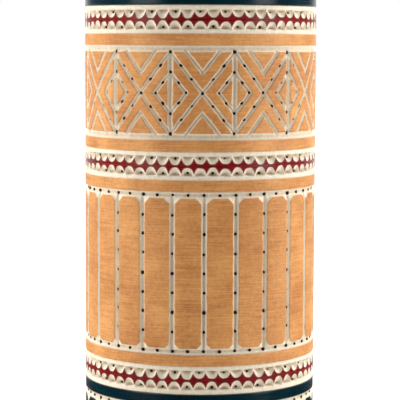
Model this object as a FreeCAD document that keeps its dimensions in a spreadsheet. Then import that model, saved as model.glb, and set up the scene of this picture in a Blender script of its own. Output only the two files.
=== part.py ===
import FreeCAD, Part

# Rainstick: a thick-walled wooden tube turned with rings and grooves, closed by a shouldered
# plug at each end. Slim palm-wood pins are driven through drilled holes towards the axis and
# stop short of it, so seeds run past them and down the open middle when the stick is turned.
# The stick stands on its lower end: the origin is the middle of that end, and +Z runs up it.

import math
import os

import Sketcher
from FreeCAD import Placement, Rotation, Vector

DIMENSIONS = {
    "tube_radius": 40.0,
    "bore_radius": 33.0,
    "seat_radius": 34.5,
    "seat_depth": 8.0,
    "edge_bevel": 1.2,
    "plug_length": 16.0,
    "plug_bevel": 1.0,
    "dish_radius": 22.0,
    "dish_depth": 1.0,
    "collar_height": 12.0,
    "ring_height": 4.1,
    "groove_width": 2.0,
    "scallop_height": 9.0,
    "diamond_height": 26.7,
    "panel_height": 49.8,
    "panels_round": 24,
    "diamonds_round": 12,
    "panel_phase": 2.0,
    "diamond_phase": 16.0,
    "spacing_drift": 1.6,
    "tan_pin_rows": 4,
    "teal_pin_rows": 3,
    "pin_diameter": 1.0,
    "pin_sink": 0.8,
    "channel_radius": 10.0,
    "hand_wander": 0.3,
    "peg_diameter": 5.0,
    "peg_reach": 26.0,
    "peg_sink": 0.15,
    "pegs_round": 4,
    "seed_diameter": 4.2,
    "seed_pitch": 4.5,
    "seed_layers": 2,
    "loose_seed_circle": 5.4,
}

# The turned bands from the lower end up to the middle, each named for its height's dimension.
END_BANDS = ["collar", "groove", "ring", "scallop", "ring"]
TEAL_PANEL_BANDS = ["groove", "panel", "groove", "ring", "scallop", "ring"]
TAN_PANEL_BANDS = ["groove", "panel", "groove", "ring", "scallop", "ring"]
DIAMOND_BANDS = ["groove", "diamond", "groove", "ring", "scallop", "ring", "groove"]
HALF = END_BANDS + TEAL_PANEL_BANDS + TAN_PANEL_BANDS + DIAMOND_BANDS
BANDS = HALF + ["diamond"] + HALF[::-1]
HEIGHT_OF = {
    "collar": "collar_height",
    "groove": "groove_width",
    "ring": "ring_height",
    "scallop": "scallop_height",
    "panel": "panel_height",
    "diamond": "diamond_height",
}

# Where pins stand in one repeat of the diamond carving: degrees from the diamond's middle, and
# share of the band's height. Every diamond has one at each corner, and every cross one in its middle.
DIAMOND_CORNERS = [(0, 0.25), (0, 0.75), (-7.5, 0.5), (7.5, 0.5)]
CROSS_MIDDLES = [(15, 0.5)]

document = FreeCAD.newDocument("rainstick")
sheet = document.addObject("Spreadsheet::Sheet", "dimensions")
for row, (alias, value) in enumerate(DIMENSIONS.items(), start=1):
    sheet.set(f"A{row}", alias)
    sheet.set(f"B{row}", str(value))
    sheet.setAlias(f"B{row}", alias)
document.recompute()


def size(alias):
    """The value of one driving dimension, as the sheet holds it."""
    return float(sheet.get(alias))


def height_below(index):
    """The height of the lower edge of a band, in millimetres and as an expression."""
    kinds = BANDS[:index]
    terms = [f"{kinds.count(kind)} * dimensions.{alias}"
             for kind, alias in HEIGHT_OF.items() if kind in kinds]
    return sum(size(HEIGHT_OF[kind]) for kind in kinds), " + ".join(terms) or "0"


STICK_HEIGHT, STICK_HEIGHT_TEXT = height_below(len(BANDS))


def origin_plane(body, role):
    """One of a body's own origin planes."""
    return next(plane for plane in body.Origin.OriginFeatures if plane.Role == role)


def new_sketch(body, name):
    """A sketch on the body's upright XZ plane: across is the radius, up is the height."""
    sketch = body.newObject("Sketcher::SketchObject", name)
    sketch.AttachmentSupport = (origin_plane(body, "XZ_Plane"), [""])
    sketch.MapMode = "FlatFace"
    return sketch


def hold(sketch, kind, geometry, point, value, expression):
    """Ties one coordinate of a sketch point to the sheet."""
    if value == 0:
        axis = -2 if kind == "DistanceX" else -1
        sketch.addConstraint(Sketcher.Constraint("PointOnObject", geometry, point, axis))
        return
    number = sketch.addConstraint(Sketcher.Constraint(kind, -1, 1, geometry, point, value))
    sketch.setExpression(f"Constraints[{number}]", expression)


def evaluate(expression):
    """What an expression over the sheet comes to now."""
    return sheet.evalExpression(expression.replace("dimensions.", ""))


def turned(name, corners):
    """A body turned about the Z axis from a closed outline of (radius, height) expressions."""
    body = document.addObject("PartDesign::Body", name)
    sketch = new_sketch(body, name + "_outline")
    points = [(float(evaluate(across)), float(evaluate(up))) for across, up in corners]
    for number, (start, end) in enumerate(zip(points, points[1:] + points[:1])):
        sketch.addGeometry(Part.LineSegment(Vector(*start, 0), Vector(*end, 0)), False)
        if number:
            sketch.addConstraint(Sketcher.Constraint("Coincident", number - 1, 2, number, 1))
    sketch.addConstraint(Sketcher.Constraint("Coincident", len(points) - 1, 2, 0, 1))
    for number, (point, expressions) in enumerate(zip(points, corners)):
        hold(sketch, "DistanceX", number, 1, point[0], expressions[0])
        hold(sketch, "DistanceY", number, 1, point[1], expressions[1])
    turning = body.newObject("PartDesign::Revolution", name + "_turning")
    turning.Profile = sketch
    turning.ReferenceAxis = (sketch, ["V_Axis"])
    turning.Angle = 360
    document.recompute()
    return body


def half_round_grooves(body):
    """Turns the round-bottomed ring grooves into the tube, one at each groove band."""
    before = body.Shape.Volume
    sketch = new_sketch(body, "groove_rounds")
    radius = size("groove_width") / 2
    for index in [number for number, kind in enumerate(BANDS) if kind == "groove"]:
        below, text = height_below(index)
        middle = Vector(size("tube_radius"), below + radius, 0)
        circle = sketch.addGeometry(Part.Circle(middle, Vector(0, 0, 1), radius), False)
        hold(sketch, "DistanceX", circle, 3, middle.x, "dimensions.tube_radius")
        hold(sketch, "DistanceY", circle, 3, middle.y, f"{text} + dimensions.groove_width / 2")
        number = sketch.addConstraint(Sketcher.Constraint("Radius", circle, radius))
        sketch.setExpression(f"Constraints[{number}]", "dimensions.groove_width / 2")
    groove = body.newObject("PartDesign::Groove", "ring_grooves")
    groove.Profile = sketch
    groove.ReferenceAxis = (sketch, ["V_Axis"])
    groove.Angle = 360
    document.recompute()
    assert body.Shape.Volume < before, "the ring grooves cut nothing"


def outward(degrees):
    """The level direction at an angle counted from the front, -Y, towards +X."""
    angle = math.radians(degrees)
    return Vector(math.sin(angle), -math.cos(angle), 0)


def around(set_out):
    """Where an evenly set-out angle falls round the stick: a little wider at the front."""
    return set_out + size("spacing_drift") * math.sin(math.radians(set_out))


def wander(column, row, channel):
    """The small amount by which a hand-marked hole misses its place, the same every time."""
    return size("hand_wander") * math.sin(12.9898 * column + 78.233 * row + 37.719 * channel)


def panel_marks(low, high, rows):
    """Rows of marks down every upright groove, each halfway between two of the carver's dots."""
    step = 360 / size("panels_round")
    return [(around(size("panel_phase") + step * column + wander(column, row, 1)),
             low + (high - low) * (row + 0.5) / rows + wander(column, row, 2))
            for column in range(int(size("panels_round"))) for row in range(int(rows))]


def diamond_marks(low, high, places):
    """Marks at these places of every repeat round a diamond band."""
    step = 360 / size("diamonds_round")
    return [(around(size("diamond_phase") + step * column + aside),
             low + (high - low) * share + wander(column, number, 4) / 2)
            for column in range(int(size("diamonds_round")))
            for number, (aside, share) in enumerate(places)]


def pin_groups():
    """Node name of each group of pins, and the marks at which its pins are driven."""
    names = iter(["lower_teal_panel", "lower_tan_panel", "lower", "middle",
                  "upper", "upper_tan_panel", "upper_teal_panel"])
    half_groove = size("groove_width") / 2
    groups = {}
    for index, kind in enumerate(BANDS):
        if kind not in ("panel", "diamond"):
            continue
        name = next(names)
        low = height_below(index)[0]
        high = height_below(index + 1)[0]
        if kind == "panel":
            rows = size("teal_pin_rows") if "teal" in name else size("tan_pin_rows")
            groups[f"{name}_pins"] = panel_marks(low - half_groove, high + half_groove, rows)
        else:
            groups[f"{name}_diamond_pins"] = diamond_marks(low, high, DIAMOND_CORNERS)
            groups[f"{name}_cross_pins"] = diamond_marks(low, high, CROSS_MIDDLES)
    return groups


def rods(marks, inner, outer, diameter):
    """Level round rods at the marks, from one radius out to another, as one compound."""
    return Part.makeCompound([
        Part.makeCylinder(diameter / 2, outer - inner, outward(angle) * inner + Vector(0, 0, height),
                          outward(angle))
        for angle, height in marks])


def feature(name, shape):
    """A group of solids that follow a rule which no sketch pattern makes."""
    made = document.addObject("Part::Feature", name)
    made.Shape = shape
    return made


def peg_ring(name, height, inner, outer):
    """A ring of level pegs through the tube's wall into a plug."""
    pegs = []
    for number in range(int(size("pegs_round"))):
        angle = 360 * (number + 0.5) / size("pegs_round")
        peg = document.addObject("Part::Cylinder", f"{name}_{number + 1}")
        peg.setExpression("Radius", "dimensions.peg_diameter / 2")
        peg.setExpression("Height", f"({outer}) - ({inner})")
        start = outward(angle) * float(evaluate(inner)) + Vector(0, 0, height)
        peg.Placement = Placement(start, Rotation(Vector(0, 0, 1), outward(angle)))
        pegs.append(peg)
    ring = document.addObject("Part::Compound", name)
    ring.Links = pegs
    return ring


def cut(name, base, *tools):
    """The base with every tool taken out of it."""
    tool = tools[0]
    if len(tools) > 1:
        tool = document.addObject("Part::Compound", name + "_tools")
        tool.Links = list(tools)
    made = document.addObject("Part::Cut", name)
    made.Base = base
    made.Tool = tool
    return made


def plug_turning(name):
    """A plug as it comes off the lathe: a flange for the tube's seat and a spigot for its bore."""
    return turned(name, [
        ("0", "dimensions.dish_depth"),
        ("dimensions.dish_radius - dimensions.dish_depth", "dimensions.dish_depth"),
        ("dimensions.dish_radius", "0"),
        ("dimensions.seat_radius", "0"),
        ("dimensions.seat_radius", "dimensions.seat_depth"),
        ("dimensions.bore_radius", "dimensions.seat_depth"),
        ("dimensions.bore_radius", "dimensions.plug_length - dimensions.plug_bevel"),
        ("dimensions.bore_radius - dimensions.plug_bevel", "dimensions.plug_length"),
        ("0", "dimensions.plug_length"),
    ])


def tube_turning():
    """The tube as it comes off the lathe: bored, seated for the plugs, bevelled and grooved."""
    top = STICK_HEIGHT_TEXT
    body = turned("tube_turning", [
        ("dimensions.seat_radius", "0"),
        ("dimensions.tube_radius - dimensions.edge_bevel", "0"),
        ("dimensions.tube_radius", "dimensions.edge_bevel"),
        ("dimensions.tube_radius", f"{top} - dimensions.edge_bevel"),
        ("dimensions.tube_radius - dimensions.edge_bevel", top),
        ("dimensions.seat_radius", top),
        ("dimensions.seat_radius", f"{top} - dimensions.seat_depth"),
        ("dimensions.bore_radius", f"{top} - dimensions.seat_depth"),
        ("dimensions.bore_radius", "dimensions.seat_depth"),
        ("dimensions.seat_radius", "dimensions.seat_depth"),
    ])
    half_round_grooves(body)
    return body


def seed_heap():
    """The seeds that lie round the loose ones: level rings of balls, in layers on the plug."""
    ball = size("seed_diameter") / 2
    pitch = size("seed_pitch")
    radii = []
    radius = size("channel_radius") + pitch / 3
    while radius + ball + 1 < size("bore_radius"):
        radii.append(radius)
        radius += pitch
    balls = []
    for layer in range(int(size("seed_layers"))):
        height = size("plug_length") + ball + layer * pitch
        for radius in radii:
            count = int(2 * math.pi * radius / pitch)
            balls += [Part.makeSphere(ball, outward(360 * (number + layer / 2) / count) * radius
                                      + Vector(0, 0, height)) for number in range(count)]
    return feature("seed_heap", Part.makeCompound(balls))


def loose_seed(name, place):
    """One ball-shaped seed that lies on the lower plug, under the open middle of the tube."""
    seed = document.addObject("Part::Sphere", name)
    seed.setExpression("Radius", "dimensions.seed_diameter / 2")
    seed.Placement.Base = place + Vector(0, 0, size("plug_length") + size("seed_diameter") / 2)
    return seed


def build():
    """Makes every piece and returns them."""
    groups = pin_groups()
    drill_overrun = 1.0
    every_mark = [mark for marks in groups.values() for mark in marks]
    pin_drills = feature("pin_drills", rods(every_mark, size("bore_radius") - drill_overrun,
                                            size("tube_radius") + drill_overrun, size("pin_diameter")))
    pieces = []
    peg_drills = []
    for end, height in (("lower", size("seat_depth") / 2), ("upper", STICK_HEIGHT - size("seat_depth") / 2)):
        pieces.append(peg_ring(f"{end}_plug_pegs", height, "dimensions.peg_reach",
                               "dimensions.tube_radius - dimensions.peg_sink"))
        peg_drills.append(peg_ring(f"{end}_peg_drills", height, "dimensions.peg_reach",
                                   "dimensions.tube_radius + 1"))
        turning = plug_turning(f"{end}_plug_turning")
        if end == "upper":
            turning.Placement = Placement(Vector(0, 0, STICK_HEIGHT), Rotation(Vector(1, 0, 0), 180))
        pieces.append(cut(f"{end}_plug", turning, peg_drills[-1]))
    pieces.append(cut("tube", tube_turning(), pin_drills, *peg_drills))
    for name, marks in groups.items():
        pieces.append(feature(name, rods(marks, size("channel_radius"),
                                         size("tube_radius") - size("pin_sink"), size("pin_diameter"))))
    pieces.append(seed_heap())
    places = [Vector(0, 0, 0)] + [outward(72 * number) * size("loose_seed_circle") for number in range(5)]
    for number, place in enumerate(places, start=1):
        pieces.append(loose_seed(f"loose_seed_{number}", place))
    return pieces


pieces = build()
document.recompute()
for item in document.Objects:
    bad = {"Invalid", "Error"} & set(item.State)
    assert not bad, f"{item.Name}: {item.State}"
for piece in pieces:
    assert not piece.Shape.isNull() and piece.Shape.isValid(), piece.Label

os.makedirs("parts", exist_ok=True)
for piece in pieces:
    piece.Shape.exportStep(f"parts/{piece.Label}.step")
    print(f"{piece.Label}: {len(piece.Shape.Solids)} solids, {piece.Shape.Volume:.1f} mm3")
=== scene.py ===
import math

import bpy
import numpy as np
from mathutils import Matrix, Vector


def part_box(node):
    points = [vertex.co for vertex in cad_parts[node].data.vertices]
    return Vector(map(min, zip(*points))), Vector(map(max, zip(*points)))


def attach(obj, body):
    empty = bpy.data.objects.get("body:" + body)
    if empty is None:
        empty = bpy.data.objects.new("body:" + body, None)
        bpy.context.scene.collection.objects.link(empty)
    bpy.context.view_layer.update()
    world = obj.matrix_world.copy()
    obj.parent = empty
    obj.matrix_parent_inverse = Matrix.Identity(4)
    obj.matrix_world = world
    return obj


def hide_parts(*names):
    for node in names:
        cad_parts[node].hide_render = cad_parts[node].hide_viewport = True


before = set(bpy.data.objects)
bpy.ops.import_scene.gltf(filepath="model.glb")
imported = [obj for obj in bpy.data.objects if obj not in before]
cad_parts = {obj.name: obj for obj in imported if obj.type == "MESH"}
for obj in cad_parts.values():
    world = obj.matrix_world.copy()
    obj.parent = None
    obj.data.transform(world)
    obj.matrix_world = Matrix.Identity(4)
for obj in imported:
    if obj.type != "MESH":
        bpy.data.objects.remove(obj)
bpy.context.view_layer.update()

# --- Sizes, in millimetres unless the name says otherwise -------------------------------------

MM = 0.001
TUBE_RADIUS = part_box("tube")[1].x / MM
STICK_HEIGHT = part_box("tube")[1].z / MM
SEAT_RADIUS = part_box("lower_plug")[1].x / MM
BORE_RADIUS = SEAT_RADIUS - 1.5    # the plugs' seats are that much wider than the bore

HEIGHT_OF = {"collar": 14.0, "ring": 4.1, "scallops": 9.0, "panels": 53.8, "diamonds": 30.7}
GROOVE_WIDTH = 2.0
GROOVE_DEPTH = 1.0
RING_EASE = 0.55           # how far in from its edges a turned ring is eased
RING_EASE_DEPTH = 0.22
RING_BARE_EDGE = 0.16      # bare wood along each edge of a turned ring
CORNER_FLARE = 2.45        # from an upright groove's middle to the end of a panel's cut corner
CORNER_GROWTH = 0.2        # added to that at one end of a panel, taken off at the other
CORNER_DEPTH = 0.75
BEAD_HEIGHT = 1.25         # of the pale bead along each edge of a scalloped band
SCALLOP_DEPTH = 1.25
SCALLOP_TIP = 0.55         # from the middle of the band to a scallop's tip
SCALLOP_SHOULDER = 0.55    # from where a scallop is first at its full width to the bead
SCALLOP_POWER = 2.7        # of the curve of a scallop's tip: more makes it blunter
UPRIGHT_HALF_WIDTH = 0.86
SLANT_HALF_WIDTH = 0.66
END_BEVEL = 1.2
PEG_WIDTH = 5.0
PEGS_ROUND = 4
PEG_PHASE = 45.0           # degrees from the front to the first peg
PEG_HEIGHT = 4.0           # from the stick's end to a peg's middle
PEG_HOLE_DEPTH = 0.5
SCRIBED_LINES = (7.5, 9.7) # from the stick's end
LINE_HALF_WIDTH = 0.45
LINE_DEPTH = 0.3
PANELS_ROUND = 24
DIAMONDS_ROUND = 12
SCALLOPS_ROUND = 60
SPACING_DRIFT = 1.6        # degrees: the upright grooves stand a little wider at the front
PANEL_PHASE = 2.0          # degrees from the front to the first upright groove
DIAMOND_PHASE = 16.0       # degrees from the front to the first diamond's middle
PIN_WIDTH = 1.0
STUB_LENGTH = 1.5          # of a burnt dot, most of it inside the wall
SEED_WIDTH = 4.2
HAND_SLIP = 1.1            # degrees round the stick that a carved line may wander, at most
HAND_JITTER = 0.00014      # metres that a burnt dot may stand off its place, each way
SLIP_SCALE = 16.0          # of the noise that a carved line wanders by
SLIP_ALONG = 0.025         # of the same noise along the stick, for each millimetre
SLIP_UP = 0.6              # millimetres wandered along the stick for each degree round it

# The bands of the lower half, from its end up to the middle: kind and colour.
HALF = [("collar", "tan"), ("ring", "teal"), ("scallops", "maroon"), ("ring", "teal"),
        ("panels", "teal"), ("ring", "teal"), ("scallops", "maroon"), ("ring", "tan"),
        ("panels", "tan"), ("ring", "tan"), ("scallops", "maroon"), ("ring", "tan"),
        ("diamonds", "tan"), ("ring", "tan"), ("scallops", "maroon"), ("ring", "teal")]


# --- Arithmetic with nodes ----------------------------------------------------------------------

class Field:
    """A number that varies over a surface, worked out by math nodes, so a rule reads as sums."""

    def __init__(self, tree, socket):
        self.tree = tree
        self.socket = socket

    def math(self, operation, *others, clamp=False):
        node = self.tree.nodes.new("ShaderNodeMath")
        node.operation = operation
        node.use_clamp = clamp
        for socket, value in zip(node.inputs, (self, *others)):
            feed(self.tree, socket, value)
        return Field(self.tree, node.outputs[0])

    def __add__(self, other):
        return self.math("ADD", other)

    def __sub__(self, other):
        return self.math("SUBTRACT", other)

    def __mul__(self, other):
        return self.math("MULTIPLY", other)

    def __truediv__(self, other):
        return self.math("DIVIDE", other)

    def __pow__(self, other):
        return self.math("POWER", other)

    def __neg__(self):
        return self * -1

    def __rsub__(self, other):
        return -self + other

    def __rtruediv__(self, other):
        return self ** -1 * other

    def __abs__(self):
        return self.math("ABSOLUTE")

    __radd__ = __add__
    __rmul__ = __mul__

    def least(self, other):
        return self.math("MINIMUM", other)

    def most(self, other):
        return self.math("MAXIMUM", other)

    def below(self, other):
        return self.math("LESS_THAN", other)

    def share(self, low=0.0, high=1.0):
        """0 at low, 1 at high, and held between them."""
        return ((self - low) * (1 / (high - low))).math("ADD", 0, clamp=True)

    def sine(self):
        return self.math("SINE")

    def root(self):
        return self.math("SQRT")


def feed(tree, socket, value):
    """Links a field or a socket to a socket, or sets a plain value on it."""
    if isinstance(value, Field):
        value = value.socket
    if isinstance(value, bpy.types.NodeSocket):
        tree.links.new(value, socket)
    else:
        socket.default_value = value


def node(tree, kind, settings=None, **inputs):
    """A new node with its settings and inputs; an input's name has _ for a space."""
    made = tree.nodes.new(kind)
    for name, value in (settings or {}).items():
        setattr(made, name, value)
    for name, value in inputs.items():
        key = int(name[1:]) if name[0] == "n" and name[1:].isdigit() else name.replace("_", " ")
        feed(tree, made.inputs[key], value)
    return made


def new_tree(name, **inputs):
    """An empty Geometry Nodes tree, and the sockets by which its named inputs come in."""
    tree = bpy.data.node_groups.new(name, "GeometryNodeTree")
    tree.interface.new_socket("Geometry", in_out="OUTPUT", socket_type="NodeSocketGeometry")
    for key, kind in inputs.items():
        tree.interface.new_socket(key, in_out="INPUT", socket_type="NodeSocket" + kind)
    sockets = tree.nodes.new("NodeGroupInput").outputs
    return tree, {socket.name: socket for socket in sockets if socket.name}


def position_of(tree):
    """The position of each point of a tree's geometry."""
    return node(tree, "GeometryNodeInputPosition").outputs[0]


def split(tree, vector):
    """The x, y and z of a vector, as fields."""
    parts = node(tree, "ShaderNodeSeparateXYZ", Vector=vector)
    return [Field(tree, socket) for socket in parts.outputs]


def joined(tree, x, y, z):
    """A vector of three numbers or fields."""
    return node(tree, "ShaderNodeCombineXYZ", X=x, Y=y, Z=z).outputs[0]


# --- The turned and carved bands ------------------------------------------------------------------

class Place:
    """Where a point of a band lies: its angle, its height from the band's middle, its cell."""

    def __init__(self, tree, angle, up, half, sense):
        self.tree = tree
        self.angle = angle      # degrees as set out, before the drift
        self.up = up            # millimetres above the band's middle
        self.half = half        # half the band's height
        self.sense = sense      # 1, or -1 on the upper half, where the band is upside down

    def cell(self, count, phase):
        """How far round from the nearest of count marks, as a share of their spacing, -0.5 to 0.5."""
        turns = (self.angle - phase) * (count / 360)
        return turns - (turns + 0.5).math("FLOOR")

    def number(self, count, phase):
        """The number of the nearest of count marks."""
        return ((self.angle - phase) * (count / 360) + 0.5).math("FLOOR")


def noise(tree, vector, scale, detail=2.0, w=0.0):
    """A smooth random field over a position, from about -0.5 to 0.5."""
    made = node(tree, "ShaderNodeTexNoise", {"noise_dimensions": "4D"},
                Vector=vector, W=w, Scale=scale, Detail=detail)
    return Field(tree, made.outputs[0]) - 0.5


def gouge(cut, half_width, depth):
    """A round-bottomed cut's depth, from the distance inside its edge."""
    aside = (1 - cut * (1 / half_width)).most(0.0).least(1.0)
    return (1 - aside ** 2.4) ** 0.7 * depth


def ring_rule(place):
    """A plain turned ring between two grooves, with its edges eased."""
    edge = place.half - abs(place.up)
    return (1 - edge.share(0, RING_EASE)) ** 2 * RING_EASE_DEPTH, RING_BARE_EDGE - edge


def collar_rule(place):
    """The plain end of the stick: a rounded end edge, peg holes, two scribed lines and a ring groove."""
    from_end = place.half + place.up * place.sense
    round_over = END_BEVEL - (END_BEVEL ** 2 - (END_BEVEL - from_end).most(0.0) ** 2).most(0.0).root()
    groove = GROOVE_WIDTH / 2 - abs(from_end - (HEIGHT_OF["collar"] - GROOVE_WIDTH / 2))
    first, second = SCRIBED_LINES
    line = LINE_HALF_WIDTH - abs(abs(from_end - (first + second) / 2) - (second - first) / 2)
    aside = place.cell(PEGS_ROUND, PEG_PHASE) * (2 * math.pi * TUBE_RADIUS / PEGS_ROUND)
    hole = PEG_WIDTH / 2 - (aside ** 2 + (from_end - PEG_HEIGHT) ** 2).root()
    depth = round_over.most(gouge(groove, 1.0, GROOVE_DEPTH))
    depth = depth.most(gouge(line, LINE_HALF_WIDTH, LINE_DEPTH))
    depth = depth.most(hole.share(-0.1, 0.1) * PEG_HOLE_DEPTH)
    return depth, groove.most(line).most(hole).most(0.5 - from_end)


def panels_rule(place):
    """Upright grooves between two ring grooves, with the panels' corners cut off."""
    aside = abs(place.cell(PANELS_ROUND, PANEL_PHASE)) * (2 * math.pi * TUBE_RADIUS / PANELS_ROUND)
    height = abs(place.up)
    half_panel = HEIGHT_OF["panels"] / 2 - GROOVE_WIDTH
    ring = 1.0 - abs(height - (half_panel + 1.0))
    upright = (UPRIGHT_HALF_WIDTH - aside).least(half_panel + 1.6 - height)
    flare = CORNER_FLARE + place.up * place.sense * (CORNER_GROWTH / half_panel)
    corner = (flare - aside - (half_panel - height)) * 0.707
    corner = corner.least(half_panel + 0.6 - height)
    depth = gouge(ring, 1.0, GROOVE_DEPTH).most(gouge(upright, UPRIGHT_HALF_WIDTH, GROOVE_DEPTH))
    return depth.most(gouge(corner, 1.5, CORNER_DEPTH)), ring.most(upright).most(corner)


def diamonds_rule(place):
    """Slanting grooves that cross into diamonds, an upright through each, and two ring grooves."""
    half_width = math.pi * TUBE_RADIUS / DIAMONDS_ROUND
    half_band = HEIGHT_OF["diamonds"] / 2 - GROOVE_WIDTH
    aside = abs(place.cell(DIAMONDS_ROUND, DIAMOND_PHASE)) * (2 * half_width)
    height = abs(place.up)
    slant = aside * (1 / half_width) + height * (1 / half_band)
    nearest = ((slant * 2).math("ROUND") * 0.5).most(0.5).least(1.5)
    across = 1 / math.hypot(1 / half_width, 1 / half_band)
    slanting = (SLANT_HALF_WIDTH - abs(slant - nearest) * across).least(half_band + 1.0 - height)
    upright = (UPRIGHT_HALF_WIDTH - aside).least(half_band + 1.6 - height)
    ring = 1.0 - abs(height - (half_band + 1.0))
    depth = gouge(slanting, SLANT_HALF_WIDTH, GROOVE_DEPTH).most(gouge(ring, 1.0, GROOVE_DEPTH))
    depth = depth.most(gouge(upright, UPRIGHT_HALF_WIDTH, GROOVE_DEPTH))
    return depth, slanting.most(upright).most(ring)


def scallops_rule(place):
    """Two rows of gouged scallops, tip to tip, each open to a pale turned bead."""
    half_pitch = math.pi * TUBE_RADIUS / SCALLOPS_ROUND
    bead = place.half - BEAD_HEIGHT
    odd = node(place.tree, "FunctionNodeRandomValue", {"data_type": "FLOAT"}, n2=-0.25, n3=0.25,
               ID=place.number(SCALLOPS_ROUND, 0.0) + place.up.below(0.0) * 100, Seed=3)
    tip = SCALLOP_TIP + Field(place.tree, odd.outputs[1])
    aside = place.cell(SCALLOPS_ROUND, 0.0) * 2
    height = abs(place.up)
    inside = (height - tip) * (1 / (bead - SCALLOP_SHOULDER - tip)) - abs(aside) ** SCALLOP_POWER
    rise = 1 / (bead - (SCALLOP_SHOULDER + SCALLOP_TIP))
    lean = abs(aside) ** (SCALLOP_POWER - 1) * (SCALLOP_POWER / half_pitch)
    slope = (rise ** 2 + lean ** 2).root()
    cut = (inside / slope).least(bead - height)
    scoop = inside.most(0.0).least(1.2) ** 0.8 * SCALLOP_DEPTH
    scoop = scoop * (bead + 0.1 - height).share(0.0, 0.3)
    edge = place.half - height
    bead_depth = 0.32 - (0.3 - abs(edge - 0.75)).share(-0.5, 0.3) * 0.22
    bead_depth = bead_depth * edge.share(0.0, 0.25) * (edge * -1).share(-1.45, -1.25)
    return scoop.most(bead_depth), cut.most(height - bead)


def smooth_middle(share):
    """1 over most of a band and 0 at its two edges, where it has to meet the next band."""
    return share.share(0, 0.1) * (1 - share).share(0, 0.1)


def band_tree(name, rule, drift=0.0, slip=0.0, bunch=1.0, cells=1, phase=0.0, end_bunch=0.0):
    """A tree that makes one closed ring of the tube's wall, its outside shaped by a rule.

    Columns can be bunched at the marks of its cells, and rows at its two ends.
    """
    tree, given = new_tree(name, Low="Float", High="Float", Radius="Float", Bore="Float", Sense="Float",
                           Columns="Int", Rows="Int", Finish="Material")
    low, high, radius, bore, sense, rows = (
        Field(tree, given[key]) for key in ("Low", "High", "Radius", "Bore", "Sense", "Rows"))
    # Four rows more than the outside has: they turn in over both ends and meet inside the bore.
    all_rows = rows + 4
    sleeve = node(tree, "GeometryNodeMeshCylinder", {"fill_type": "NONE"},
                  Vertices=given["Columns"], Side_Segments=all_rows, Radius=1.0, Depth=1.0)
    x, y, z = split(tree, position_of(tree))
    set_out = x.math("ARCTAN2", -y) * (180 / math.pi)
    if bunch != 1.0:
        turns = (set_out - phase) * (cells / 360)
        whole = (turns + 0.5).math("FLOOR")
        part = turns - whole
        set_out = (whole + part.math("SIGN") * (abs(part) * 2) ** bunch * 0.5) * (360 / cells) + phase
    angle = (set_out + (set_out * (math.pi / 180)).sine() * drift) * (math.pi / 180)
    row = (z + 0.5) * all_rows
    share = ((row - 2) / rows).most(0.0).least(1.0)
    if end_bunch:
        share = share - (share * (2 * math.pi)).sine() * end_bunch
    inner = row.below(1.5).most((all_rows - row).below(1.5))
    seam = row.below(0.5).most((all_rows - row).below(0.5))
    share = share * (1 - seam) + seam * 0.5
    up = (share - 0.5) * (high - low)
    # A hand that carves wanders a little off every line, and a lathe doesn't.
    spread = joined(tree, x, y, (up + low) * SLIP_ALONG)
    aside_slip = noise(tree, spread, SLIP_SCALE) * slip
    up_slip = noise(tree, spread, SLIP_SCALE, 2.0, 9.0) * slip * SLIP_UP * smooth_middle(share)
    place = Place(tree, set_out + aside_slip, up + up_slip, (high - low) * 0.5, sense)
    depth, cut = rule(place)
    depth = depth.most(0.0) * (1 - inner)
    cut = cut * (1 - inner) + inner
    wall = radius * (1 - inner) + bore * inner - depth
    spot = joined(tree, wall * angle.sine() * MM, wall * angle.math("COSINE") * -MM,
                  (up + (low + high) * 0.5) * MM)
    shape = sleeve.outputs["Mesh"]
    for attribute, value in (("cut", cut), ("depth", depth)):
        stored = node(tree, "GeometryNodeStoreNamedAttribute", {"data_type": "FLOAT", "domain": "POINT"},
                      Geometry=shape, Name=attribute, Value=value)
        shape = stored.outputs[0]
    moved = node(tree, "GeometryNodeSetPosition", Geometry=shape, Position=spot)
    closed = node(tree, "GeometryNodeMergeByDistance", Geometry=moved.outputs[0], Distance=0.00001)
    finish_tree(tree, closed.outputs[0], given["Finish"])
    return tree


def finish_tree(tree, shape, finish):
    """Ends a tree: smooth, real geometry with its finish on it."""
    smooth = node(tree, "GeometryNodeSetShadeSmooth", Geometry=shape)
    real = node(tree, "GeometryNodeRealizeInstances", Geometry=smooth.outputs[0])
    coated = node(tree, "GeometryNodeSetMaterial", Geometry=real.outputs[0], Material=finish)
    feed(tree, node(tree, "NodeGroupOutput").inputs[0], coated.outputs[0])


def grown(name, tree, start=None, **inputs):
    """A plain mesh object made by a tree with these inputs, from a starting mesh if it needs one."""
    seed = bpy.data.objects.new(name + "_seed", start or bpy.data.meshes.new(name + "_seed"))
    bpy.context.scene.collection.objects.link(seed)
    modifier = seed.modifiers.new("shape", "NODES")
    modifier.node_group = tree
    for socket in tree.interface.items_tree:
        if socket.in_out == "INPUT" and socket.name in inputs:
            modifier[socket.identifier] = inputs[socket.name]
    graph = bpy.context.evaluated_depsgraph_get()
    mesh = bpy.data.meshes.new_from_object(seed.evaluated_get(graph))
    bpy.data.objects.remove(seed)
    mesh.name = name
    piece = bpy.data.objects.new(name, mesh)
    bpy.context.scene.collection.objects.link(piece)
    return piece


# --- Burnt dots between the pins' ends, and the heaped seeds ----------------------------------------

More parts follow.
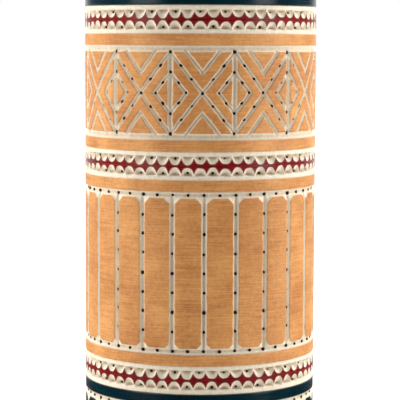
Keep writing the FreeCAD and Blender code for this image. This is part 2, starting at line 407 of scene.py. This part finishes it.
def dots_tree():
    """A tree that stands a short dark stub at every point of its mesh, square to the axis."""
    tree, given = new_tree("burnt dots", Marks="Geometry", Width="Float", Length="Float",
                           Finish="Material")
    x, y, _ = split(tree, position_of(tree))
    stub = node(tree, "GeometryNodeMeshCylinder", Vertices=12, Radius=Field(tree, given["Width"]) * 0.5,
                Depth=given["Length"])
    turn = joined(tree, math.pi / 2, 0.0, x.math("ARCTAN2", -y))
    odd = node(tree, "FunctionNodeRandomValue", {"data_type": "FLOAT"}, n2=0.85, n3=1.2, Seed=5)
    size = joined(tree, odd.outputs[1], odd.outputs[1], 1.0)
    slip = node(tree, "FunctionNodeRandomValue", {"data_type": "FLOAT_VECTOR"},
                n0=[-HAND_JITTER] * 3, n1=[HAND_JITTER] * 3, Seed=8)
    marks = node(tree, "GeometryNodeSetPosition", Geometry=given["Marks"], Offset=slip.outputs[0])
    placed = node(tree, "GeometryNodeInstanceOnPoints", Points=marks.outputs[0],
                  Instance=stub.outputs[0], Rotation=turn, Scale=size)
    finish_tree(tree, placed.outputs[0], given["Finish"])
    return tree


def seeds_tree():
    """A tree that puts a small round seed in the place of every separate ball of its mesh."""
    tree, given = new_tree("seeds", Balls="Geometry", Width="Float", Finish="Material")
    ball = node(tree, "GeometryNodeInputMeshIsland").outputs[0]
    places = node(tree, "GeometryNodeAccumulateField", {"data_type": "FLOAT_VECTOR"},
                  Value=position_of(tree), Group_ID=ball)
    corners = node(tree, "GeometryNodeAccumulateField", {"data_type": "FLOAT"}, Value=1.0, Group_ID=ball)
    middle = node(tree, "ShaderNodeVectorMath", {"operation": "SCALE"}, n0=places.outputs["Total"],
                  Scale=1 / Field(tree, corners.outputs["Total"]))
    is_first = Field(tree, corners.outputs["Leading"]).below(1.5)
    points = node(tree, "GeometryNodeMeshToPoints", Mesh=given["Balls"], Selection=is_first,
                  Position=middle.outputs[0])
    seed = node(tree, "GeometryNodeMeshIcoSphere", Radius=Field(tree, given["Width"]) * 0.5,
                Subdivisions=2)
    placed = node(tree, "GeometryNodeInstanceOnPoints", Points=points.outputs[0],
                  Instance=seed.outputs[0])
    finish_tree(tree, placed.outputs[0], given["Finish"])
    return tree


def around(set_out):
    """Where an evenly set-out angle falls round the stick, in degrees."""
    return set_out + SPACING_DRIFT * math.sin(math.radians(set_out))


def panel_dots(low, high):
    """Burnt dots down every upright groove and between them in the ring grooves."""
    step = 360 / PANELS_ROUND
    low += GROOVE_WIDTH / 2
    high -= GROOVE_WIDTH / 2
    # The pins stand halfway between these dots, so their rows in the frame say how many there are.
    rows = pin_rows(low, high)
    marks = []
    for column in range(PANELS_ROUND):
        groove = PANEL_PHASE + step * column
        marks += [(around(groove), low + (high - low) * row / rows) for row in range(rows + 1)]
        marks += [(around(groove + step / 2), height) for height in (low, high)]
    return marks


def diamond_dots(low, high):
    """Burnt dots at the ends of the uprights and along the sides of every diamond and cross."""
    low += GROOVE_WIDTH
    high -= GROOVE_WIDTH
    spots = [(0, 0.0), (0, 1.0)]
    spots += [(side * 3.75, 0.5 + end * 0.125) for side in (-1, 1) for end in (-1, 1)]
    spots += [(side * 5 * step, 0.5 + end * (0.5 - step / 6))
              for side in (-1, 1) for end in (-1, 1) for step in (1, 2)]
    repeat = 360 / DIAMONDS_ROUND
    return [(around(DIAMOND_PHASE + repeat * column + aside), low + (high - low) * share)
            for column in range(DIAMONDS_ROUND) for aside, share in spots]


def scallop_dots(low, high):
    """Burnt dots in every second scallop of the upper row, and in the others of the lower row."""
    middle = (low + high) / 2
    step = 360 / SCALLOPS_ROUND
    return [(step * column, middle + (2.35 if column % 2 == 0 else -2.35))
            for column in range(SCALLOPS_ROUND)]


def pin_rows(low, high):
    """How many rows of pins the frame has between two heights in an upright groove."""
    heights = [spot[1] for spot in pin_spots if low < spot[1] < high]
    return round(len(heights) / PANELS_ROUND)


def find_pins():
    """Angle and height of every pin's outer end, read from the frame's own pins."""
    spots = []
    for name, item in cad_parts.items():
        if not name.endswith("_pins"):
            continue
        points = np.array([vertex.co for vertex in item.data.vertices]) / MM
        reach = np.hypot(points[:, 0], points[:, 1])
        ends = points[reach > reach.max() - 0.2]
        angles = np.degrees(np.arctan2(ends[:, 0], -ends[:, 1]))
        # The corners of one pin's end round to several spots, and only the first of them counts.
        for angle, height in sorted(set(zip(angles.round(0), ends[:, 2].round(0)))):
            if all(abs(angle - a) > 2.5 or abs(height - h) > 2.5 for a, h in spots):
                spots.append((angle, height))
    return spots


# --- Finishes ---------------------------------------------------------------------------------------

def srgb(red, green, blue):
    """A colour given as eight-bit display values, in the linear numbers that shaders take."""
    shares = [value / 255 for value in (red, green, blue)]
    return [s / 12.92 if s <= 0.04045 else ((s + 0.055) / 1.055) ** 2.4 for s in shares] + [1.0]


def mixed(tree, factor, first, second):
    """The first colour where the factor is 0, the second where it is 1."""
    made = node(tree, "ShaderNodeMix", {"data_type": "RGBA"}, n0=factor, n6=first, n7=second)
    return made.outputs[2]


def attribute(tree, name):
    """A number stored on the surface by its tree."""
    return Field(tree, node(tree, "ShaderNodeAttribute", {"attribute_name": name}).outputs["Fac"])


def stretched(tree, position, scale):
    """A position scaled unevenly, so that noise over it is drawn out."""
    return node(tree, "ShaderNodeMapping", Vector=position, Scale=scale).outputs[0]


def blank_material(name):
    """A new material's tree, its shader and the surface position."""
    material = bpy.data.materials.new(name)
    material.use_nodes = True
    tree = material.node_tree
    tree.nodes.clear()
    shader = node(tree, "ShaderNodeBsdfPrincipled")
    feed(tree, node(tree, "ShaderNodeOutputMaterial").inputs["Surface"], shader.outputs[0])
    return material, tree, shader, node(tree, "ShaderNodeTexCoord").outputs["Object"]


def bump(tree, shader, height, distance):
    """Raises the surface by a height field, in metres at its strongest."""
    raised = node(tree, "ShaderNodeBump", Height=height, Distance=distance, Strength=1.0)
    feed(tree, shader.inputs["Normal"], raised.outputs[0])


PALE_WOOD = ((228, 212, 186), (248, 238, 220))
# Painted shade: the darker brown that the deepest cuts are mixed towards, not a colour of the wood.
PAINTED_SHADE_WOOD = ((142, 112, 78), (206, 184, 152))


def coated_wood(name, deep, bright, gloss):
    """Turned wood under a thin coloured coat, cut through to pale wood by the carving; deep cuts get
    painted shade.
    """
    material, tree, shader, position = blank_material(name)
    cut = attribute(tree, "cut")
    depth = attribute(tree, "depth")
    streak = noise(tree, stretched(tree, position, (110, 110, 2600)), 1.0, 3.0)
    blotch = noise(tree, position, 75.0, 3.0, 2.0)
    fibre = noise(tree, stretched(tree, position, (1500, 1500, 90)), 1.0, 3.0, 4.0)
    speckle = noise(tree, position, 900.0, 2.0, 6.0)
    coat = mixed(tree, (0.5 + streak * 1.5 + blotch * 1.7 + speckle * 0.9).share(),
                 srgb(*deep), srgb(*bright))
    # The coat turns up to an eighth of the way to pale cream within about a third of a millimetre
    # outside each cut's edge.
    pale_rim = ((cut + 0.35).share(0, 0.3) * 0.12).share()
    coat = mixed(tree, pale_rim, coat, srgb(250, 235, 210))
    pale = mixed(tree, (0.5 + fibre * 1.2 + blotch * 0.6).share(), *[srgb(*end) for end in PALE_WOOD])
    # Painted shade: bare wood deeper than about 0.7 mm, above all in the scallops' deep ends, is
    # darkened by its depth alone, towards the painted shade colour held in floor.
    floor = mixed(tree, (0.5 + fibre * 1.6).share(), *[srgb(*end) for end in PAINTED_SHADE_WOOD])
    bare = mixed(tree, (depth + speckle * 0.3).share(0.7, 1.2) * 0.85, pale, floor)
    is_bare = (cut + fibre * 0.10 + speckle * 0.06).share(-0.03, 0.05)
    feed(tree, shader.inputs["Base Color"], mixed(tree, is_bare, coat, bare))
    feed(tree, shader.inputs["Roughness"], (gloss + streak * 0.12) * (1 - is_bare) + is_bare * 0.72)
    shader.inputs["Specular IOR Level"].default_value = 0.25
    bump(tree, shader, streak * 0.5 + blotch * 0.2 + fibre * is_bare * 1.5 + speckle * is_bare, 0.00012)
    return material


def end_grain(name, deep, bright, ring_scale):
    """Wood seen across the grain: growth rings off centre, with fine pores."""
    material, tree, shader, position = blank_material(name)
    off_centre = node(tree, "ShaderNodeMapping", Vector=position, Location=(0.011, 0.006, 0.0))
    rings = node(tree, "ShaderNodeTexWave", {"wave_type": "RINGS", "rings_direction": "Z"},
                 Vector=off_centre.outputs[0], Scale=ring_scale, Distortion=2.5, Detail=3.0,
                 Detail_Scale=1.5)
    ring = Field(tree, rings.outputs["Fac"])
    pores = noise(tree, position, 1800.0, 3.0)
    shade = (ring * 0.45 + pores * 1.1 + 0.25).share()
    feed(tree, shader.inputs["Base Color"], mixed(tree, shade, srgb(*deep), srgb(*bright)))
    feed(tree, shader.inputs["Roughness"], 0.55 + pores * 0.3)
    bump(tree, shader, pores + ring * 0.4, 0.00012)
    return material


def dark_wood(name, deep, bright, scale):
    """Dark mottled wood or husk: pin ends, burnt dots and seeds."""
    material, tree, shader, position = blank_material(name)
    mottle = noise(tree, position, scale, 4.0)
    colour = mixed(tree, (0.5 + mottle * 1.5).share(), srgb(*deep), srgb(*bright))
    feed(tree, shader.inputs["Base Color"], colour)
    feed(tree, shader.inputs["Roughness"], 0.6 + mottle * 0.4)
    shader.inputs["Specular IOR Level"].default_value = 0.2
    bump(tree, shader, mottle, 0.0001)
    return material


def straight_and_glossy(tree):
    """Two fields: 1 for rays straight from the camera or through glass, and 1 for mirrored rays."""
    path = node(tree, "ShaderNodeLightPath")
    camera, glossy, through = (Field(tree, path.outputs[f"Is {kind} Ray"])
                               for kind in ("Camera", "Glossy", "Transmission"))
    return camera.most(through), glossy


def pale_ground(name, colour):
    """The floor: matt, pale and a little uneven.

    The camera sees it lifted to white, less so close round the stick, where its shadow falls.
    Mirrored rays find it white behind the stick and dark in front, as in a dim room.
    """
    material, tree, shader, position = blank_material(name)
    cloud = noise(tree, position, 3.0, 4.0)
    seen, glossy = straight_and_glossy(tree)
    x, y, _ = split(tree, position)
    behind = y.share(0.3, 1.5)
    away = (x ** 2 + y ** 2).root().share(0.06, 0.34)
    ground = mixed(tree, (0.5 + cloud).share(), srgb(*colour), srgb(*[value - 6 for value in colour]))
    feed(tree, shader.inputs["Base Color"], mixed(tree, glossy * (1 - behind), ground, srgb(24, 24, 24)))
    shader.inputs["Roughness"].default_value = 0.9
    shader.inputs["Emission Color"].default_value = (1, 1, 1, 1)
    lift = seen * (0.3 + away * 0.7) + glossy * behind * 0.7
    feed(tree, shader.inputs["Emission Strength"], lift)
    return material


COATS = {
    "tan": coated_wood("tan_stain_over_pale_wood", (184, 118, 64), (230, 166, 100), 0.45),
    "maroon": coated_wood("maroon_paint_over_pale_wood", (98, 11, 14), (138, 20, 24), 0.28),
    "teal": coated_wood("teal_paint_over_pale_wood", (1, 26, 34), (5, 42, 52), 0.2),
}
PIN_FINISH = dark_wood("dark_palm_wood", (18, 9, 5), (52, 30, 18), 2500.0)
BURNT = dark_wood("burnt_wood", (22, 9, 3), (58, 30, 13), 2500.0)
PLUG_FINISH = end_grain("plug_end_grain", (204, 166, 118), (242, 218, 178), 80.0)
PEG_FINISH = end_grain("peg_end_grain", (110, 66, 34), (150, 98, 56), 260.0)
SEED_FINISH = dark_wood("dry_seed_husk", (84, 44, 20), (150, 92, 50), 900.0)


# --- Building the stick -----------------------------------------------------------------------------

TREES = {
    "collar": band_tree("turned collar", collar_rule, bunch=1.6, cells=PEGS_ROUND, phase=PEG_PHASE),
    "ring": band_tree("turned ring", ring_rule),
    "scallops": band_tree("scalloped band", scallops_rule, slip=HAND_SLIP),
    "panels": band_tree("panelled band", panels_rule, drift=SPACING_DRIFT, slip=HAND_SLIP, bunch=1.6,
                        cells=PANELS_ROUND, phase=PANEL_PHASE, end_bunch=0.1),
    "diamonds": band_tree("diamond band", diamonds_rule, drift=SPACING_DRIFT, slip=HAND_SLIP),
}
COLUMNS = {"collar": 360, "ring": 240, "scallops": 1020, "panels": 840, "diamonds": 780}
ROWS = {"collar": 44, "ring": 12, "scallops": 30, "panels": 66, "diamonds": 112}
DOTS = {"panels": panel_dots, "diamonds": diamond_dots, "scallops": scallop_dots}


def ready(piece, body, slot_name, *stands_for):
    """Makes a piece part of a body, in place of CAD nodes; the slot name is not used."""
    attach(piece, body)
    if stands_for:
        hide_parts(*stands_for)


def marks_mesh(name, marks, reach):
    """Points at these angles and heights, at one distance from the axis."""
    turned = [(math.radians(angle), height) for angle, height in marks]
    points = [(reach * math.sin(angle) * MM, -reach * math.cos(angle) * MM, height * MM)
              for angle, height in turned]
    mesh = bpy.data.meshes.new(name)
    mesh.from_pydata(points, [], [])
    return mesh


pin_spots = find_pins()
stub_tree = dots_tree()
bands = [(kind, colour, 1.0) for kind, colour in HALF] + [("diamonds", "teal", 1.0)]
bands += [(kind, colour, -1.0) for kind, colour in reversed(HALF)]
low = 0.0
for number, (kind, colour, sense) in enumerate(bands, start=1):
    high = low + HEIGHT_OF[kind]
    bore = SEAT_RADIUS if kind == "collar" else BORE_RADIUS
    piece = grown(f"band_{number:02d}_{colour}_{kind}", TREES[kind], Low=low, High=high,
                  Radius=TUBE_RADIUS, Bore=bore, Sense=sense, Columns=COLUMNS[kind], Rows=ROWS[kind],
                  Finish=COATS[colour])
    ready(piece, "stick", "carved_wood", "tube")
    if kind in DOTS:
        sunk, width = (0.9, 0.8) if kind == "scallops" else (0.7, 1.05)
        marks = marks_mesh("marks", DOTS[kind](low, high), TUBE_RADIUS - sunk - STUB_LENGTH / 2)
        ready(grown(f"band_{number:02d}_dots", stub_tree, marks, Width=PIN_WIDTH * width * MM,
                    Length=STUB_LENGTH * MM, Finish=BURNT), "stick", "pin_wood")
    low = high

heap_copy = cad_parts["seed_heap"].data.copy()
ready(grown("heaped_seeds", seeds_tree(), heap_copy, Width=SEED_WIDTH * MM, Finish=SEED_FINISH),
      "heap", "seed", "seed_heap")

for name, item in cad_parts.items():
    if name.endswith("_pins"):
        finish = PIN_FINISH
    elif name.endswith("_pegs"):
        finish = PEG_FINISH
    elif name.endswith("_plug"):
        finish = PLUG_FINISH
    else:
        finish = SEED_FINISH
    item.data.materials.clear()
    item.data.materials.append(finish)


# --- Floor, light and camera --------------------------------------------------------------------------

def lay_floor():
    """A wide plain pale floor at the stick's foot."""
    mesh = bpy.data.meshes.new("floor")
    mesh.from_pydata([(-6, -6, 0), (6, -6, 0), (6, 6, 0), (-6, 6, 0)], [], [(0, 1, 2, 3)])
    mesh.materials.append(pale_ground("pale_floor", (236, 235, 232)))
    floor = bpy.data.objects.new("floor", mesh)
    bpy.context.scene.collection.objects.link(floor)


BOX_DISTANCE = 1.3
BOX_HEIGHT = 1.0
BOX_LIFT = 0.15            # how far a lamp stands above the stick's middle, as a share of its distance


def soft_box(name, azimuth, width, watts, mirrored):
    """A lamp that faces the stick from an azimuth; gloss shows it only if it is mirrored."""
    lamp = bpy.data.lights.new(name, "AREA")
    lamp.shape = "RECTANGLE"
    lamp.size = width
    lamp.size_y = BOX_HEIGHT
    lamp.energy = watts
    holder = bpy.data.objects.new(name, lamp)
    holder.visible_glossy = mirrored
    bpy.context.scene.collection.objects.link(holder)
    turn = math.radians(azimuth)
    middle = Vector((0, 0, STICK_HEIGHT * MM / 2))
    holder.location = middle + Vector((math.sin(turn), -math.cos(turn), BOX_LIFT)) * BOX_DISTANCE
    holder.rotation_mode = "QUATERNION"
    holder.rotation_quaternion = (middle - holder.location).to_track_quat("-Z", "Y")


def light_world():
    """A studio that is white to the camera, dim in front of the stick, and pale behind and above it."""
    world = bpy.data.worlds.new("studio")
    bpy.context.scene.world = world
    world.use_nodes = True
    tree = world.node_tree
    tree.nodes.clear()
    direction = node(tree, "ShaderNodeTexCoord").outputs["Generated"]
    _, toward_back, upward = split(tree, direction)
    seen, glossy = straight_and_glossy(tree)
    glow = 0.06 + toward_back.share(-0.3, 0.8) * 0.45 + upward.share(0.5, 0.9) * 0.4
    glow = glow * (1 - glossy) + (0.02 + toward_back.share(0.72, 0.92)) * glossy
    shown = node(tree, "ShaderNodeBackground", Color=(1, 1, 1, 1), Strength=seen + (1 - seen) * glow)
    feed(tree, node(tree, "ShaderNodeOutputWorld").inputs["Surface"], shown.outputs[0])


CAMERA_LENS = 159.3        # millimetres, on a sensor 36 wide
CAMERA_AWAY = 15.43        # in tube radii
CAMERA_UP = 0.4345         # as a share of the stick's height
CAMERA_TILT = 5.133        # degrees down
CAMERA_ROLL = 0.208        # degrees


def set_camera():
    """The camera in front, a little below mid-height, looking slightly down."""
    data = bpy.data.cameras.new("camera")
    data.sensor_width = 36.0
    data.lens = CAMERA_LENS
    camera = bpy.data.objects.new("camera", data)
    bpy.context.scene.collection.objects.link(camera)
    bpy.context.scene.camera = camera
    camera.location = (0.0, -CAMERA_AWAY * TUBE_RADIUS * MM, CAMERA_UP * STICK_HEIGHT * MM)
    tilt = Matrix.Rotation(math.radians(90 - CAMERA_TILT), 4, "X")
    roll = Matrix.Rotation(math.radians(CAMERA_ROLL), 4, "Z")
    camera.rotation_euler = (tilt @ roll).to_euler()


set_camera()
lay_floor()
light_world()
soft_box("left_front_box", azimuth=-56, width=0.7, watts=5.7, mirrored=True)
soft_box("right_front_box", azimuth=64, width=0.5, watts=5.7, mirrored=True)
soft_box("left_side_box", azimuth=-98, width=0.9, watts=18.0, mirrored=False)
soft_box("right_side_box", azimuth=98, width=0.9, watts=18.0, mirrored=False)
bpy.context.scene.view_settings.view_transform = "Standard"
